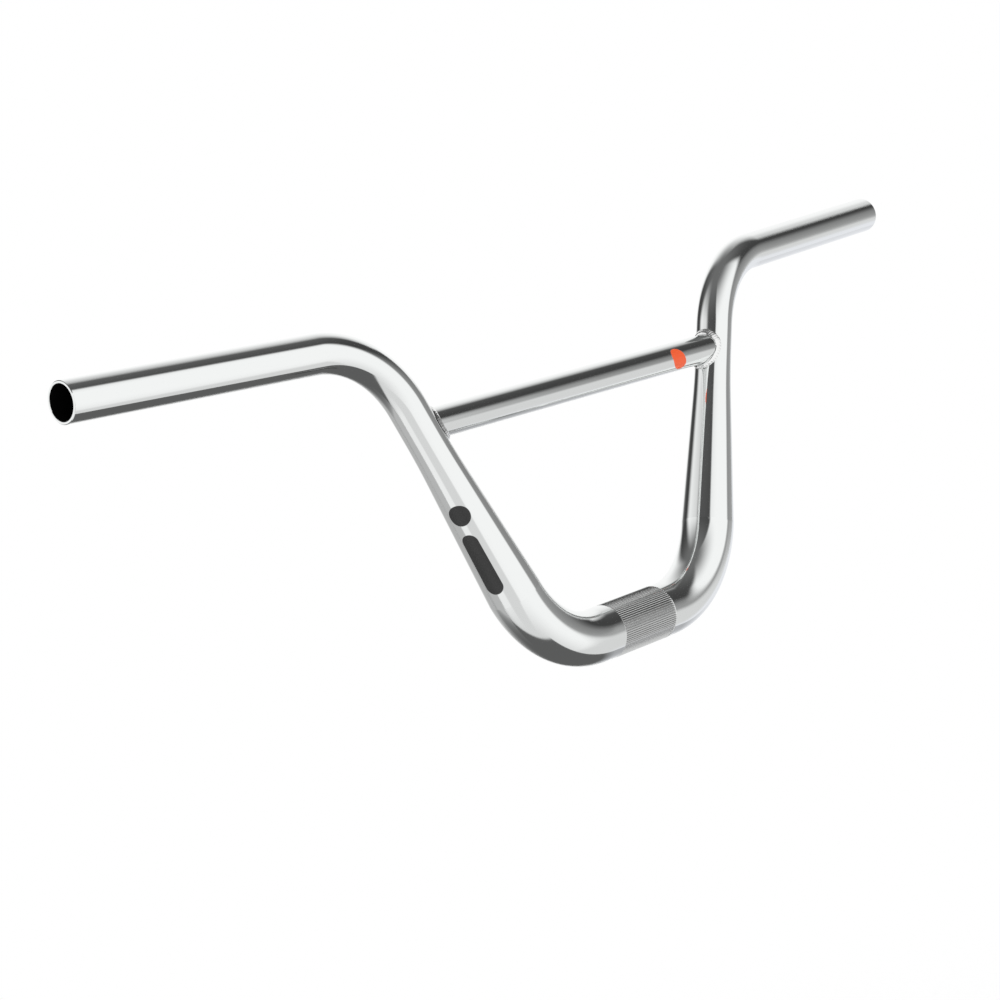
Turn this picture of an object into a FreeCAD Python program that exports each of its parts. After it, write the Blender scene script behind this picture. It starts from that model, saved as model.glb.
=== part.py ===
"""BMX race handlebar: a bent and tapered tube with a knurled clamp, and a crossbar welded between its legs.

Millimetres. The origin is the middle of the stem clamp. +X runs along the clamp, +Z is up along the rise of
the bar, and +Y points to the rider, the way the grips sweep back. Both legs lie in the XZ plane.
"""
import FreeCAD, Part
import Sketcher
import os
from enum import IntEnum

# Driving dimensions in millimetres and degrees: alias, value, what it is.
DIMENSIONS = [
    ("bar_width", 736.6, "overall width between the two open ends"),
    ("bar_rise", 199.2, "height of the open ends over the clamp's axis"),
    ("backsweep", 5.7, "angle of the grips towards the rider"),
    ("upsweep", 2.0, "angle of the grips upwards"),
    ("base_width", 153.8, "width between the corners of the centreline at the foot of the legs"),
    ("shoulder_width", 326.8, "width between the corners of the centreline at the top of the legs"),
    ("lower_bend_radius", 67.0, "centreline radius of the bends beside the clamp"),
    ("upper_bend_radius", 66.5, "centreline radius of the bends below the grips"),
    ("clamp_diameter", 31.8, "outside diameter of the clamp and the lower bends"),
    ("clamp_wall", 2.0, "wall of the tube at the clamp"),
    ("grip_diameter", 22.2, "outside diameter of the grips and the upper bends"),
    ("grip_wall", 1.5, "wall of the tube at the grips"),
    ("taper_length", 94.0, "length of leg over which the tube narrows"),
    ("end_break", 0.35, "chamfer on the outside of the open ends"),
    ("crossbar_height", 142.0, "height of the crossbar's axis over the clamp's axis"),
    ("crossbar_diameter", 17.5, "outside diameter of the crossbar"),
    ("crossbar_wall", 1.5, "wall of the crossbar"),
    ("weld_size", 2.2, "reach of a weld bead along the leg and along the crossbar"),
    ("weld_toe", 0.5, "height of a weld bead's two edges, between which it slopes"),
    ("knurl_length", 50.0, "length of the knurled band"),
    ("knurl_count", 96, "grooves around the clamp"),
    ("knurl_depth", 0.3, "depth of a knurl groove"),
    ("knurl_width", 0.6, "width of a knurl groove at the surface"),
]

# Values worked out from the driving dimensions. The centreline of one side is the clamp, the lower bend, the
# straight leg, the upper bend and the straight grip. The seat is where the crossbar's axis meets the leg's.
CENTRELINE = [
    ("reach", "(Dimensions.bar_width - Dimensions.shoulder_width) / 2"),
    ("corner_rise", "Dimensions.bar_rise - reach * tan(Dimensions.upsweep) / cos(Dimensions.backsweep)"),
    ("lean", "atan((Dimensions.shoulder_width - Dimensions.base_width) / (2 * corner_rise)) / 1 deg"),
    ("lower_turn", "90 - lean"),
    ("lower_tangent", "Dimensions.lower_bend_radius * tan(lower_turn / 2)"),
    ("upper_turn", "acos(sin(lean) * cos(Dimensions.backsweep) * cos(Dimensions.upsweep)"
                   " + cos(lean) * sin(Dimensions.upsweep)) / 1 deg"),
    ("upper_tangent", "Dimensions.upper_bend_radius * tan(upper_turn / 2)"),
    ("bend_roll", "atan(sin(Dimensions.backsweep) * cos(Dimensions.upsweep)"
                  " / (cos(lean) * cos(Dimensions.backsweep) * cos(Dimensions.upsweep)"
                  " - sin(lean) * sin(Dimensions.upsweep))) / 1 deg"),
    ("clamp_half", "Dimensions.base_width / 2 - lower_tangent"),
    ("leg_length", "corner_rise / cos(lean) - lower_tangent - upper_tangent"),
    ("grip_length", "reach / (cos(Dimensions.backsweep) * cos(Dimensions.upsweep)) - upper_tangent"),
    ("leg_foot_x", "Dimensions.base_width / 2 + lower_tangent * sin(lean)"),
    ("leg_foot_z", "lower_tangent * cos(lean)"),
    ("leg_top_x", "Dimensions.shoulder_width / 2 - upper_tangent * sin(lean)"),
    ("leg_top_z", "corner_rise - upper_tangent * cos(lean)"),
    ("grip_start_x", "Dimensions.shoulder_width / 2"
                     " + upper_tangent * cos(Dimensions.backsweep) * cos(Dimensions.upsweep)"),
    ("grip_start_y", "upper_tangent * sin(Dimensions.backsweep) * cos(Dimensions.upsweep)"),
    ("grip_start_z", "corner_rise + upper_tangent * sin(Dimensions.upsweep)"),
    ("crossbar_reach", "Dimensions.base_width / 2 + Dimensions.crossbar_height * tan(lean)"),
    ("seat_distance", "(Dimensions.crossbar_height - leg_foot_z) / cos(lean)"),
    ("seat_radius", "(Dimensions.grip_diameter + (Dimensions.clamp_diameter - Dimensions.grip_diameter)"
                    " * max(0; 1 - seat_distance / Dimensions.taper_length)) / 2"),
    ("jacket_radius", "seat_radius + Dimensions.weld_size"),
    ("sleeve_radius", "Dimensions.crossbar_diameter / 2 + Dimensions.weld_size"),
]

# Distance in millimetres under which an edge counts as lying on a surface.
ON_SURFACE = 1e-3


class Axis(IntEnum):
    """The numbers by which a sketch knows its own axes."""

    H = -1
    V = -2


class Point(IntEnum):
    """The numbers by which a sketch knows the points of an edge. An axis starts at the sketch's origin."""

    START = 1
    END = 2
    CENTRE = 3


def make_sheet(doc):
    """Write the driving dimensions into a spreadsheet, one aliased cell each."""
    sheet = doc.addObject("Spreadsheet::Sheet", "Dimensions")
    for row, (alias, value, note) in enumerate(DIMENSIONS, start=1):
        sheet.set(f"A{row}", alias)
        sheet.set(f"B{row}", str(value))
        sheet.set(f"C{row}", note)
        sheet.setAlias(f"B{row}", alias)
    doc.recompute()
    return sheet


def make_centreline(doc):
    """Hold the worked-out lengths and angles of the centreline as expressions on the sheet."""
    centreline = doc.addObject("App::VarSet", "Centreline")
    for name, expression in CENTRELINE:
        centreline.addProperty("App::PropertyFloat", name, "Centreline")
        centreline.setExpression(name, expression)
        doc.recompute()
    return centreline


def origin_item(body, role):
    """Find one of a body's origin planes or axes by its role."""
    return next(item for item in body.Origin.OriginFeatures if item.Role == role)


def sketch_on(body, name, role, offset=None):
    """Start a sketch on one of the body's origin planes, moved by a placement expression if one is given."""
    sketch = body.newObject("Sketcher::SketchObject", name)
    sketch.AttachmentSupport = [(origin_item(body, role), "")]
    sketch.MapMode = "FlatFace"
    if offset:
        sketch.setExpression("AttachmentOffset", offset)
    return sketch


def bind(sketch, constraint, name, expression):
    """Add a dimension to a sketch and bind it to an expression."""
    index = sketch.addConstraint(constraint)
    sketch.renameConstraint(index, name)
    sketch.setExpression(f"Constraints.{name}", expression)


def add_circle(sketch, radius, drop="0", shift="0"):
    """Draw a circle below the sketch's origin by drop and left of it by shift. Each size is an expression."""
    r, down, left = (sketch.evalExpression(text) for text in (radius, drop, shift))
    circle = sketch.addGeometry(Part.Circle(FreeCAD.Vector(-left, -down, 0), FreeCAD.Vector(0, 0, 1), r))
    tag = f"c{circle}"
    if shift == "0":
        sketch.addConstraint(Sketcher.Constraint("PointOnObject", circle, Point.CENTRE, Axis.V))
    else:
        across = Sketcher.Constraint("DistanceX", circle, Point.CENTRE, Axis.H, Point.START, left)
        bind(sketch, across, tag + "_shift", shift)
    if drop == "0":
        sketch.addConstraint(Sketcher.Constraint("PointOnObject", circle, Point.CENTRE, Axis.H))
    else:
        below = Sketcher.Constraint("DistanceY", circle, Point.CENTRE, Axis.H, Point.START, down)
        bind(sketch, below, tag + "_drop", drop)
    bind(sketch, Sketcher.Constraint("Radius", circle, r), tag + "_radius", radius)


def add_polygon(sketch, corners):
    """Draw a closed outline through corners, each a pair of expressions dimensioned from the origin."""
    points = [FreeCAD.Vector(*(sketch.evalExpression(text) for text in corner), 0) for corner in corners]
    count = len(points)
    for i in range(count):
        sketch.addGeometry(Part.LineSegment(points[i], points[(i + 1) % count]))
    for i in range(count):
        sketch.addConstraint(Sketcher.Constraint("Coincident", i, Point.END, (i + 1) % count, Point.START))
    for i, (point, (x_text, y_text)) in enumerate(zip(points, corners)):
        for letter, text, value, axis in (("X", x_text, point.x, Axis.V), ("Y", y_text, point.y, Axis.H)):
            if text == "0":
                sketch.addConstraint(Sketcher.Constraint("PointOnObject", i, Point.START, axis))
            else:
                kind = "Distance" + letter
                dimension = Sketcher.Constraint(kind, Axis.H, Point.START, i, Point.START, value)
                bind(sketch, dimension, f"{letter.lower()}{i}", text)


def pad(body, sketch, name, length):
    """Pad a sketch equally to both sides, to a total length."""
    feature = body.newObject("PartDesign::Pad", name)
    feature.Profile = sketch
    feature.SideType = "Symmetric"
    feature.setExpression("Length", length)
    return feature


def revolve(body, sketch, name, axis, angle="360", turned_back=False):
    """Revolve a sketch about one of its own axes."""
    feature = body.newObject("PartDesign::Revolution", name)
    feature.Profile = sketch
    feature.ReferenceAxis = (sketch, [axis])
    feature.setExpression("Angle", angle)
    feature.Reversed = turned_back
    return feature


def boolean(doc, kind, label, base, tool):
    """Make a Part::Cut or Part::Common of two objects."""
    result = doc.addObject(kind, label)
    result.Base = base
    result.Tool = tool
    result.Label = label
    return result


def leg_sketch(body, name):
    """Start a sketch that stands on the foot of the right leg, with its V axis along the leg."""
    return sketch_on(body, name, "XZ_Plane",
                     "placement(vector(Centreline.leg_foot_x; Centreline.leg_foot_z; 0);"
                     " rotation(-Centreline.lean; 0; 0))")


def make_knurl_cutter(doc):
    """Build the ring of straight bars that cut the V grooves of the knurl into the middle of the clamp."""
    top = "Dimensions.clamp_diameter / 2"
    half_width = "Dimensions.knurl_width / 2"
    body = doc.addObject("PartDesign::Body", "knurl_cutter")
    sketch = sketch_on(body, "knurl_profile", "YZ_Plane")
    add_polygon(sketch, [
        ("-" + half_width, top),
        ("0", f"{top} - Dimensions.knurl_depth"),
        (half_width, top),
        ("0", f"{top} + Dimensions.knurl_depth"),
    ])
    groove = pad(body, sketch, "knurl_groove", "Dimensions.knurl_length")
    pattern = body.newObject("PartDesign::PolarPattern", "knurl")
    pattern.Originals = [groove]
    pattern.Axis = (origin_item(body, "X_Axis"), [""])
    pattern.setExpression("Occurrences", "Dimensions.knurl_count")
    body.Tip = pattern
    return body


def make_envelope(doc, name, clamp_radius, grip_radius, end_profile):
    """Build the bent bar as a filled solid of the given radii, one side modelled and the other mirrored.

    end_profile holds the corners of the grip's outline past its first, from its side to its end face.
    """
    body = doc.addObject("PartDesign::Body", name)
    clamp = sketch_on(body, "clamp_profile", "YZ_Plane")
    add_circle(clamp, clamp_radius)
    pad(body, clamp, "clamp", "2 * Centreline.clamp_half")

    lower = sketch_on(body, "lower_bend_profile", "YZ_Plane",
                      "placement(vector(0; Dimensions.lower_bend_radius; Centreline.clamp_half);"
                      " rotation(0; 0; 0))")
    add_circle(lower, clamp_radius, drop="Dimensions.lower_bend_radius")
    lower_bend = revolve(body, lower, "lower_bend", "H_Axis", "Centreline.lower_turn", turned_back=True)

    leg = leg_sketch(body, "leg_profile")
    add_polygon(leg, [("0", "0"), (clamp_radius, "0"), (grip_radius, "Dimensions.taper_length"),
                      (grip_radius, "Centreline.leg_length"), ("0", "Centreline.leg_length")])
    leg_tube = revolve(body, leg, "leg", "V_Axis")

    upper = sketch_on(body, "upper_bend_profile", "XZ_Plane",
                      "placement(vector("
                      "Centreline.leg_top_x + Dimensions.upper_bend_radius * cos(Centreline.lean)"
                      " * cos(Centreline.bend_roll);"
                      " Centreline.leg_top_z - Dimensions.upper_bend_radius * sin(Centreline.lean)"
                      " * cos(Centreline.bend_roll);"
                      " -Dimensions.upper_bend_radius * sin(Centreline.bend_roll));"
                      " rotation(-Centreline.lean; Centreline.bend_roll; 90))")
    add_circle(upper, grip_radius, shift="Dimensions.upper_bend_radius")
    upper_bend = revolve(body, upper, "upper_bend", "V_Axis", "Centreline.upper_turn", turned_back=True)

    grip = sketch_on(body, "grip_profile", "XY_Plane",
                     "placement(vector("
                     "Centreline.grip_start_x; Centreline.grip_start_y; Centreline.grip_start_z);"
                     " rotation(Dimensions.backsweep - 90; 0; Dimensions.upsweep))")
    add_polygon(grip, [("0", "0"), (grip_radius, "0")] + end_profile)
    grip_tube = revolve(body, grip, "grip", "V_Axis")

    mirrored = body.newObject("PartDesign::Mirrored", "other_side")
    mirrored.Originals = [lower_bend, leg_tube, upper_bend, grip_tube]
    mirrored.MirrorPlane = (origin_item(body, "YZ_Plane"), [""])
    body.Tip = mirrored
    doc.recompute()
    return body


def make_bar_solids(doc):
    """Build the filled outside of the bar and its bore."""
    clamp, grip = "Dimensions.clamp_diameter / 2", "Dimensions.grip_diameter / 2"
    length = "Centreline.grip_length"
    broken_edge = [
        (grip, f"{length} - Dimensions.end_break"),
        (f"{grip} - Dimensions.end_break", length),
        ("0", length),
    ]
    outside = make_envelope(doc, "bar_outside", clamp, grip, broken_edge)

    bore_radius = f"{grip} - Dimensions.grip_wall"
    past_end = f"{length} + Dimensions.grip_wall"
    bore = make_envelope(doc, "bar_bore", f"{clamp} - Dimensions.clamp_wall", bore_radius,
                         [(bore_radius, past_end), ("0", past_end)])
    return outside, bore


def make_rod(doc, name, radius, length, middle="0"):
    """Build a filled round bar along X at the crossbar's height, with its middle at the given X."""
    body = doc.addObject("PartDesign::Body", name)
    sketch = sketch_on(body, f"{name}_profile", "YZ_Plane",
                       f"placement(vector(0; Dimensions.crossbar_height; {middle}); rotation(0; 0; 0))")
    add_circle(sketch, radius)
    pad(body, sketch, f"{name}_pad", length)
    return body


def make_crossbar(doc, outside):
    """Build the crossbar, a tube coped at both ends to the legs, and the filled rod it starts from."""
    radius = "Dimensions.crossbar_diameter / 2"
    length = "2 * Centreline.crossbar_reach"
    rod = make_rod(doc, "crossbar_rod", radius, length)
    bore = make_rod(doc, "crossbar_bore", f"{radius} - Dimensions.crossbar_wall", length)
    tube = boolean(doc, "Part::Cut", "crossbar_tube", rod, bore)
    return rod, boolean(doc, "Part::Cut", "crossbar", tube, outside)


def rim_edges(plug, sheet, centreline):
    """Find the edge where the weld's sleeve around the crossbar meets its jacket around the leg."""
    corner = FreeCAD.Vector(sheet.base_width / 2, 0, 0)
    seat = FreeCAD.Vector(centreline.crossbar_reach, 0, sheet.crossbar_height)
    along_crossbar = FreeCAD.Vector(1, 0, 0)
    found = []
    for index, edge in enumerate(plug.Shape.Edges, start=1):
        middle = edge.valueAt((edge.FirstParameter + edge.LastParameter) / 2)
        off_sleeve = middle.distanceToLine(seat, along_crossbar) - centreline.sleeve_radius
        off_jacket = middle.distanceToLine(seat, seat - corner) - centreline.jacket_radius
        if max(abs(off_sleeve), abs(off_jacket)) < ON_SURFACE:
            found.append(index)
    return found


def make_weld_beads(doc, outside, rod, sheet, centreline):
    """Build both weld beads: rings around the crossbar's ends that follow the legs, with a sloping face.

    The right bead is what a sleeve around the crossbar and a jacket around the leg share, bevelled at its
    rim, less the leg and the crossbar. The left bead is its mirror image.
    """
    reach = "Centreline.crossbar_reach"
    sleeve = make_rod(doc, "weld_sleeve", "Centreline.sleeve_radius", reach, f"{reach} / 2")
    jacket = doc.addObject("PartDesign::Body", "weld_jacket")
    profile = leg_sketch(jacket, "weld_jacket_profile")
    top = "Centreline.leg_length + 2 * Centreline.sleeve_radius"
    add_polygon(profile, [("0", "0"), ("Centreline.jacket_radius", "0"),
                          ("Centreline.jacket_radius", top), ("0", top)])
    revolve(jacket, profile, "weld_jacket_turned", "V_Axis")
    plug = boolean(doc, "Part::Common", "weld_plug", sleeve, jacket)
    doc.recompute()

    bevelled = doc.addObject("Part::Chamfer", "weld_bevelled")
    bevelled.Base = plug
    bevel = sheet.weld_size - sheet.weld_toe
    bevelled.Edges = [(index, bevel, bevel) for index in rim_edges(plug, sheet, centreline)]
    off_leg = boolean(doc, "Part::Cut", "weld_off_leg", bevelled, outside)
    right = boolean(doc, "Part::Cut", "weld_bead_right", off_leg, rod)
    left = doc.addObject("Part::Mirroring", "weld_bead_left")
    left.Source = right
    left.Normal = FreeCAD.Vector(1, 0, 0)
    beads = doc.addObject("Part::Compound", "weld_beads")
    beads.Links = [left, right]
    return beads


def check(doc, solids):
    """Stop if an object failed to build, or a sub-part isn't valid or hasn't its number of solids."""
    for item in doc.Objects:
        if {"Invalid", "Error"} & set(item.State):
            raise RuntimeError(f"{item.Name} failed: {item.State}")
    for part, count in solids:
        if part.Shape.isNull() or not part.Shape.isValid() or len(part.Shape.Solids) != count:
            raise RuntimeError(f"{part.Label} isn't valid with {count} solids")


def main():
    """Build the handlebar and write each sub-part to its own STEP file."""
    doc = FreeCAD.newDocument("handlebar")
    sheet = make_sheet(doc)
    centreline = make_centreline(doc)
    outside, bore = make_bar_solids(doc)
    smooth_tube = boolean(doc, "Part::Cut", "smooth_tube", outside, bore)
    main_tube = boolean(doc, "Part::Cut", "main_tube", smooth_tube, make_knurl_cutter(doc))
    rod, crossbar = make_crossbar(doc, outside)
    weld_beads = make_weld_beads(doc, outside, rod, sheet, centreline)
    doc.recompute()
    solids = [(main_tube, 1), (crossbar, 1), (weld_beads, 2)]
    check(doc, solids)
    os.makedirs("parts", exist_ok=True)
    for part, count in solids:
        part.Shape.exportStep(os.path.join("parts", part.Label + ".step"))
        print(part.Label, "solids", count, "volume", round(part.Shape.Volume, 1), "box", part.Shape.BoundBox)


main()
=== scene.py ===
"""A high-rise BMX race handlebar in polished alloy, dressed over its CAD solids in a white card studio.

Sizes are in millimetres and angles in degrees, in the CAD frame: the origin is the middle of the stem clamp,
+X runs along the clamp, +Z is up along the rise and +Y points to the rider. Meshes are put into Blender in
metres.
"""
import logging
import math
from dataclasses import dataclass
from enum import Enum
from typing import Any

import bpy
import numpy as np
from mathutils import Matrix


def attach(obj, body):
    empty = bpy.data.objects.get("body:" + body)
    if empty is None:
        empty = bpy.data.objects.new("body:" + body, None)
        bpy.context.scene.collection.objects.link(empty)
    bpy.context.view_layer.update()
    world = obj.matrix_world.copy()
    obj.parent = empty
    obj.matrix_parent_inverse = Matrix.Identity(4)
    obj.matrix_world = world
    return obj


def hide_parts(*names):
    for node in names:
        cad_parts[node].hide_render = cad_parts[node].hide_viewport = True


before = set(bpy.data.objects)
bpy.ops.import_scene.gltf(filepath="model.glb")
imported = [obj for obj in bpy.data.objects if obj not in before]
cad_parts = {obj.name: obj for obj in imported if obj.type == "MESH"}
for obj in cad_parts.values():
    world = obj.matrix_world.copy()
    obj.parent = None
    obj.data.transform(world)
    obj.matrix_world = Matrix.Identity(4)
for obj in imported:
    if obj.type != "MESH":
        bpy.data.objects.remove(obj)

LOG = logging.getLogger("handlebar")
MM = 0.001
FLARE_FROM = 30.0
LEAST_FADE = 1e-4
Array = np.ndarray
Colour = tuple[float, float, float, float]
Fades = tuple[float, float, float, float]
Stops = tuple[tuple[float, float], ...]


class Side(Enum):
    """The two sides of the bar, as the sign of X."""

    LEFT = -1.0
    RIGHT = 1.0


class Op(Enum):
    """The operations of a Math node that the finishes use."""

    ADD = "ADD"
    SUBTRACT = "SUBTRACT"
    MULTIPLY = "MULTIPLY"
    ABSOLUTE = "ABSOLUTE"
    MINIMUM = "MINIMUM"
    MAXIMUM = "MAXIMUM"
    SQRT = "SQRT"
    EXPONENT = "EXPONENT"


class Socket:
    """One shader value. Python's operators on it add Math nodes to its graph."""

    def __init__(self, graph: "Graph", out: bpy.types.NodeSocket) -> None:
        """Wrap an output socket of a node in a graph."""
        self.graph = graph
        self.out = out

    def __add__(self, other: "Socket | float") -> "Socket":
        """Sum of two values."""
        return self.graph.math(Op.ADD, self, other)

    __radd__ = __add__

    def __sub__(self, other: "Socket | float") -> "Socket":
        """This value less another."""
        return self.graph.math(Op.SUBTRACT, self, other)

    def __rsub__(self, other: float) -> "Socket":
        """A number less this value."""
        return self.graph.math(Op.SUBTRACT, other, self)

    def __mul__(self, other: "Socket | float") -> "Socket":
        """Product of two values."""
        return self.graph.math(Op.MULTIPLY, self, other)

    __rmul__ = __mul__

    def __abs__(self) -> "Socket":
        """Size of this value without its sign."""
        return self.graph.math(Op.ABSOLUTE, self)


class Graph:
    """The node tree of a material or of the world."""

    def __init__(self, tree: bpy.types.NodeTree) -> None:
        """Take over a node tree and empty it."""
        self.tree = tree
        tree.nodes.clear()

    def node(self, kind: str, settings: dict[str, Any] | None = None,
             inputs: dict[str | int, Any] | None = None) -> bpy.types.Node:
        """Make a node.

        Args:
            kind: The node's type.
            settings: The node's own properties, set first.
            inputs: Values or links of its sockets, by name or number.

        Returns:
            The new node.
        """
        made = self.tree.nodes.new(kind)
        for name, value in (settings or {}).items():
            setattr(made, name, value)
        for key, value in (inputs or {}).items():
            if isinstance(value, Socket):
                self.tree.links.new(value.out, made.inputs[key])
            elif isinstance(value, bpy.types.NodeSocket):
                self.tree.links.new(value, made.inputs[key])
            else:
                made.inputs[key].default_value = value
        return made

    def get(self, kind: str, output: str | int, settings: dict[str, Any] | None = None,
            inputs: dict[str | int, Any] | None = None) -> Socket:
        """Make a node and wrap one of its outputs, by name or number."""
        return Socket(self, self.node(kind, settings, inputs).outputs[output])

    def math(self, op: Op, *values: Socket | float) -> Socket:
        """Add one Math node and wrap its value."""
        return self.get("ShaderNodeMath", 0, {"operation": op.value}, dict(enumerate(values)))

    def ramp(self, value: Socket, low: float, high: float) -> Socket:
        """Smooth step of a value, 0 at low and 1 at high, also where high is under low."""
        limits = {"Value": value, "From Min": low, "From Max": high}
        return self.get("ShaderNodeMapRange", 0, {"interpolation_type": "SMOOTHSTEP"}, limits)

    def blend(self, factor: Socket, low: Colour | Socket, high: Colour | Socket) -> Socket:
        """Mix of two colours by a factor."""
        return self.get("ShaderNodeMix", 2, {"data_type": "RGBA"}, {0: factor, 6: low, 7: high})

    def levels(self, value: Socket, stops: Stops, tint: tuple[float, float, float]) -> Socket:
        """Run a tinted grey evenly through stops.

        Args:
            value: A value from 0 to 1.
            stops: The grey at each of a few places, in rising order.
            tint: Factors on red, green and blue.

        Returns:
            The colour.
        """
        made = self.node("ShaderNodeValToRGB", {}, {0: value})
        ramp = made.color_ramp.elements
        for number, (place, grey) in enumerate(stops):
            stop = ramp[number] if number < 2 else ramp.new(place)
            stop.position = place
            stop.color = tuple(grey * part for part in tint) + (1.0,)
        return Socket(self, made.outputs[0])

    def noise(self, place: Socket, scale: float, detail: float = 3.0) -> Socket:
        """Fractal noise from 0 to 1 at a place."""
        return self.get("ShaderNodeTexNoise", 0, {}, {"Vector": place, "Scale": scale, "Detail": detail})

    def stretched(self, place: Socket, scale: tuple[float, float, float]) -> Socket:
        """A place with each of its axes scaled."""
        return self.get("ShaderNodeVectorMath", 0, {"operation": "MULTIPLY"}, {0: place, 1: scale})

    def parts(self, place: Socket) -> tuple[Socket, Socket, Socket]:
        """The three parts of a vector."""
        split = self.node("ShaderNodeSeparateXYZ", {}, {0: place})
        return tuple(Socket(self, out) for out in split.outputs)

    def object_place(self) -> Socket:
        """Object coordinates, in metres."""
        return self.get("ShaderNodeTexCoord", "Object")

    def wrap_place(self) -> Socket:
        """The piece's own UV map."""
        return self.get("ShaderNodeUVMap", 0, {"uv_map": "wrap"})

    def output(self, shader: bpy.types.NodeSocket, kind: str = "ShaderNodeOutputMaterial") -> None:
        """Send a shader to the output."""
        self.node(kind, {}, {"Surface": shader})

    def principled(self, inputs: dict[str, Any]) -> None:
        """Send a Principled shader with some inputs to the output."""
        self.output(self.node("ShaderNodeBsdfPrincipled", {}, inputs).outputs[0])

    def mixed(self, factor: Socket, first: bpy.types.Node, second: bpy.types.Node) -> None:
        """Send a mix of two shaders to the output."""
        shaders = {0: factor, 1: first.outputs[0], 2: second.outputs[0]}
        self.output(self.node("ShaderNodeMixShader", {}, shaders).outputs[0])


def new_material(name: str) -> tuple[bpy.types.Material, Graph]:
    """Make an empty node material.

    Args:
        name: The material's name.

    Returns:
        The material and its graph.
    """
    material = bpy.data.materials.new(name)
    material.use_nodes = True
    return material, Graph(material.node_tree)


@dataclass(frozen=True)
class Print:
    """A plain printed patch on a tube: a rounded box in the unrolled surface.

    The turn around the tube and the distance along it from its left end are those of the patch's middle. A
    lean shears the box along the tube.
    """

    colour: Colour
    turn: float
    along: float
    radius: float
    half_wide: float
    half_long: float
    corner: float
    lean: float = 0.0
    edge: float = 0.12

    def mask(self, graph: Graph, around: Socket, run: Socket, length: float) -> Socket:
        """Work out where the patch is.

        The distance to a rounded box is the length of what sticks out of its inner box, less the corner.

        Args:
            graph: The material's graph.
            around: UV across, one turn of the tube.
            run: UV along, the whole length of the tube.
            length: Length of the tube in millimetres.

        Returns:
            1 inside the patch and 0 outside, with a fine soft edge.
        """
        offset = (around - self.turn / 360.0) * (2.0 * math.pi * self.radius)
        across = abs(offset) - (self.half_wide - self.corner)
        down = abs(run * length - self.along - offset * self.lean) - (self.half_long - self.corner)
        side = graph.math(Op.MAXIMUM, across, 0.0)
        end = graph.math(Op.MAXIMUM, down, 0.0)
        reach = graph.math(Op.SQRT, side * side + end * end)
        inner = graph.math(Op.MINIMUM, graph.math(Op.MAXIMUM, across, down), 0.0)
        return graph.ramp(reach + inner, self.corner + self.edge, self.corner - self.edge)


@dataclass(frozen=True)
class PolishedAlloy:
    """Bright polished alloy with faint lengthwise polishing lines and soft smears, and plain prints."""

    name: str
    length: float
    girth: float
    prints: tuple[Print, ...] = ()
    tint: Colour = (0.895, 0.910, 0.904, 1.0)
    roughness: float = 0.055
    lines_around: float = 2.2
    lines_along: float = 0.035
    line_rough: float = 0.03
    line_shade: float = 0.985
    smear_scale: float = 26.0
    smear_range: tuple[float, float] = (0.45, 0.75)
    smear_rough: float = 0.025
    print_rough: float = 0.28

    def build(self) -> bpy.types.Material:
        """Make the material.

        Returns:
            The material.
        """
        material, graph = new_material(self.name)
        wrap = graph.wrap_place()
        around, run, _ = graph.parts(wrap)
        fine = (self.girth * self.lines_around, self.length * self.lines_along, 1.0)
        lines = graph.noise(graph.stretched(wrap, fine), 1.0)
        smear = graph.ramp(graph.noise(graph.object_place(), self.smear_scale), *self.smear_range)
        rough = self.roughness + self.line_rough * lines + self.smear_rough * smear
        shade = tuple(self.line_shade * part for part in self.tint[:3]) + (1.0,)
        colour = graph.blend(lines, shade, self.tint)
        metal: Socket | float = 1.0
        for patch in self.prints:
            inside = patch.mask(graph, around, run, self.length)
            colour = graph.blend(inside, colour, patch.colour)
            metal = metal - inside
            rough = rough + self.print_rough * inside
        graph.principled({"Base Color": colour, "Metallic": metal, "Roughness": rough, "IOR": 1.5})
        return material


@dataclass(frozen=True)
class RidgedMetal:
    """Metal with a relief: smoother on its heights and rougher in its depths, with a fine grain, and painted
    shade that darkens its colour in the depths.

    The height from 0 to 1 is read from the piece's points.
    """

    name: str
    high: Colour
    # The low colour is painted shade for the depths.
    low: Colour
    shade_until: float
    grain_scale: float
    roughness: float
    high_polish: float
    grain_bump: float
    grain_height: float
    grain_rough: float = 0.08

    def build(self) -> bpy.types.Material:
        """Make the material.

        Returns:
            The material.
        """
        material, graph = new_material(self.name)
        height = graph.get("ShaderNodeAttribute", "Fac", {"attribute_name": "height"})
        grain = graph.noise(graph.object_place(), self.grain_scale)
        # Painted shade: the colour runs from the low colour in the depths up to the high colour on the
        # heights.
        colour = graph.blend(graph.ramp(height, 0.0, self.shade_until), self.low, self.high)
        rough = self.roughness - self.high_polish * height + self.grain_rough * grain
        bump = graph.get("ShaderNodeBump", 0, {}, {
            "Strength": self.grain_bump, "Distance": self.grain_height, "Height": grain})
        graph.principled({"Base Color": colour, "Metallic": 1.0, "Roughness": rough, "Normal": bump})
        return material


# Painted shade: the low colours darken the knurl's floors and end faces, and the weld between its ripples and
# along its toe.
KNURLED_ALLOY = RidgedMetal(
    "knurl_satin_painted_shade", high=(0.88, 0.89, 0.885, 1.0), low=(0.64, 0.645, 0.64, 1.0), shade_until=0.7,
    grain_scale=900.0, roughness=0.15, high_polish=0.05, grain_bump=0.08, grain_height=0.0001)
WELD_METAL = RidgedMetal(
    "weld_metal", high=(0.91, 0.915, 0.91, 1.0), low=(0.30, 0.30, 0.295, 1.0), shade_until=0.6,
    grain_scale=1100.0, roughness=0.14, high_polish=0.06, grain_bump=0.35, grain_height=0.00015)


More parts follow.
